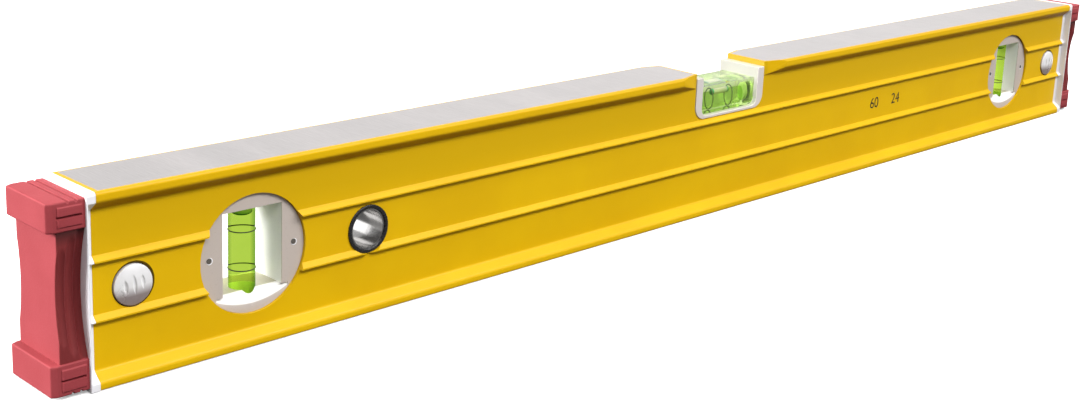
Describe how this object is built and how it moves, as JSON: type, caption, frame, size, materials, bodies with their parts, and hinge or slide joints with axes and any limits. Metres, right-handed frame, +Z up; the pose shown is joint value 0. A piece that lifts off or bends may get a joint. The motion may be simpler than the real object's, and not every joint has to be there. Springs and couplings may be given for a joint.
{
  "type": "magnetic spirit level",
  "caption": "Magnetic box-section spirit level with levelling and plumb vials, removable end caps, release buttons and a hanging hole.",
  "frame": {"origin": "centre of the base plane", "axes": "+X along the level towards the end with no hanging hole, +Z up from the base to the top measuring face, -Y is the front with the release buttons"},
  "size_m": [0.6, 0.026, 0.059],
  "materials": {
    "body_paint": "gloss powder coat on extruded aluminium, measuring faces milled bare",
    "cap_rubber": "soft matte red",
    "core_plastic": "black, moulded",
    "insert_plastic": "white, moulded",
    "holder_plastic": "white, lightly glossed",
    "vial_clear": "clear acrylic, tinted yellow-green by the liquid",
    "plug_plastic": "translucent plug, glued in",
    "bubble_air": "air bubble",
    "sleeve_metal": "polished tube",
    "collar_plastic": "black",
    "button_metal": "satin",
    "spring_steel": "sprung leaf",
    "keeper_steel": "zinc plated",
    "magnet_black": "ceramic magnet, ground face"
  },
  "bodies": {
    "level": {"body_profile": "body_paint", "button_spring_left": "spring_steel", "button_spring_right": "spring_steel", "end_insert_left": "insert_plastic", "end_insert_right": "insert_plastic", "hang_collar_back": "collar_plastic", "hang_collar_front": "collar_plastic", "hang_sleeve": "sleeve_metal", "levelling_vial_block": "vial_clear", "levelling_vial_plug": "plug_plastic", "magnet_1": "magnet_black", "magnet_2": "magnet_black", "magnet_3": "magnet_black", "magnet_4": "magnet_black", "magnet_keeper_1": "keeper_steel", "magnet_keeper_2": "keeper_steel", "magnet_keeper_3": "keeper_steel", "magnet_keeper_4": "keeper_steel", "plumb_vial_plug_left": "plug_plastic", "plumb_vial_plug_right": "plug_plastic", "plumb_vial_tube_left": "vial_clear", "plumb_vial_tube_right": "vial_clear", "vial_cradle": "holder_plastic", "vial_holder_back_left": "holder_plastic", "vial_holder_back_right": "holder_plastic", "vial_holder_front_left": "holder_plastic", "vial_holder_front_right": "holder_plastic"},
    "cap_left": {"end_cap_left": "cap_rubber", "cap_core_left": "core_plastic"},
    "cap_right": {"end_cap_right": "cap_rubber", "cap_core_right": "core_plastic"},
    "button_left": {"release_button_left": "button_metal"},
    "button_right": {"release_button_right": "button_metal"},
    "bubble_left": {"plumb_vial_bubble_left": "bubble_air"},
    "bubble_right": {"plumb_vial_bubble_right": "bubble_air"},
    "bubble_level": {"levelling_vial_bubble": "bubble_air"}
  },
  "joints": [
    {"name": "cap_left_slide", "type": "slide", "parent": "level", "child": "cap_left", "axis": [-1, 0, 0], "range_m": [0, 0.032]},
    {"name": "cap_right_slide", "type": "slide", "parent": "level", "child": "cap_right", "axis": [1, 0, 0], "range_m": [0, 0.032]},
    {"name": "button_left_press", "type": "slide", "parent": "level", "child": "button_left", "axis": [0, 1, 0], "range_m": [0, 0.002], "stiffness_N_per_m": 600, "springref_m": -0.001, "deforming": ["button_spring_left"]},
    {"name": "button_right_press", "type": "slide", "parent": "level", "child": "button_right", "axis": [0, 1, 0], "range_m": [0, 0.002], "stiffness_N_per_m": 600, "springref_m": -0.001, "deforming": ["button_spring_right"]},
    {"name": "plumb_bubble_left_travel", "type": "slide", "parent": "level", "child": "bubble_left", "axis": [0, 0, 1], "range_m": [-0.031, 0], "stiffness_N_per_m": 1, "springref_m": 0.02},
    {"name": "plumb_bubble_right_travel", "type": "slide", "parent": "level", "child": "bubble_right", "axis": [0, 0, 1], "range_m": [-0.031, 0], "stiffness_N_per_m": 1, "springref_m": 0.02},
    {"name": "levelling_bubble_travel", "type": "slide", "parent": "level", "child": "bubble_level", "axis": [1, 0, 0], "range_m": [-0.009, 0.009], "stiffness_N_per_m": 1}
  ]
}
